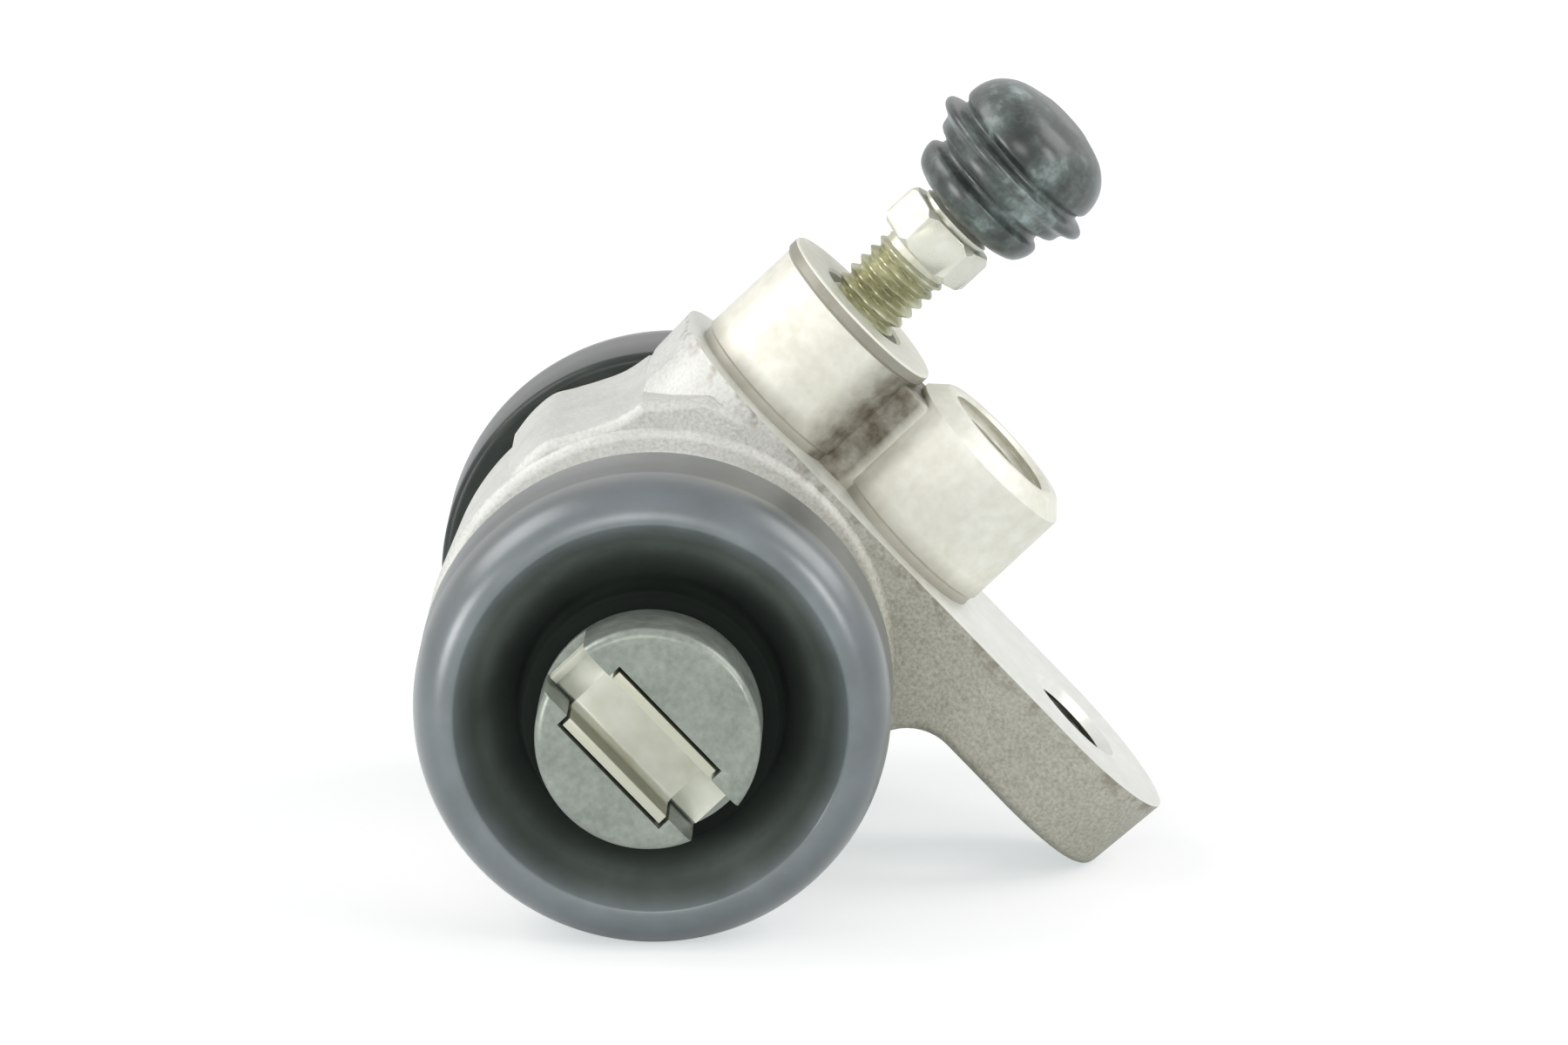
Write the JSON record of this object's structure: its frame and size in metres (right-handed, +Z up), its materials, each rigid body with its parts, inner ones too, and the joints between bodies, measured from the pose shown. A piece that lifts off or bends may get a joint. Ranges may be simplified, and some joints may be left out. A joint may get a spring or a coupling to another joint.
{
  "type": "wheel cylinder",
  "caption": "Hydraulic wheel cylinder for a drum brake: a cast barrel with a mounting ear, opposed slotted pistons, dust boots, a fluid inlet and a capped bleed screw.",
  "frame": {"origin": "centre of the footprint, on the surface the part lies on", "axes": "+Y along the bore, away from the end that faces the viewer; +Z up; +X towards the low corner of the ear"},
  "size_m": [0.054, 0.0736, 0.0585],
  "materials": {
    "cast_aluminium": "sand cast, bosses and face machined",
    "piston_alloy": "turned",
    "clip_steel": "pressed, plated",
    "spring_steel": "drawn wire",
    "yellow_zinc": "yellow zinc plated",
    "boot_rubber": "moulded, satin",
    "cup_rubber": "moulded",
    "cap_rubber": "moulded, satin"
  },
  "bodies": {
    "cylinder": {"cylinder_body": "cast_aluminium", "front_boot": "boot_rubber", "rear_boot": "boot_rubber", "return_spring": "spring_steel"},
    "front_slider": {"front_piston": "piston_alloy", "front_slot_clip": "clip_steel", "front_cup": "cup_rubber"},
    "rear_slider": {"rear_piston": "piston_alloy", "rear_slot_clip": "clip_steel", "rear_cup": "cup_rubber"},
    "bleeder": {"bleed_screw": "yellow_zinc"},
    "cap": {"bleed_cap": "cap_rubber"}
  },
  "joints": [
    {"name": "front_piston_slide", "type": "slide", "parent": "cylinder", "child": "front_slider", "axis": [0, -1, 0], "range_m": [-0.003, 0.0055], "deforming": ["front_boot", "return_spring"]},
    {"name": "rear_piston_slide", "type": "slide", "parent": "cylinder", "child": "rear_slider", "axis": [0, 1, 0], "range_m": [-0.003, 0.0055], "deforming": ["rear_boot", "return_spring"]},
    {"name": "bleed_screw_turn", "type": "hinge", "parent": "cylinder", "child": "bleeder", "pos_m": [0.00503, 0, 0.04161], "axis": [0.723, 0, 0.6909], "range_deg": [0, 360]},
    {"name": "bleed_cap_pull", "type": "slide", "parent": "bleeder", "child": "cap", "axis": [0.723, 0, 0.6909], "range_m": [0, 0.012]}
  ]
}
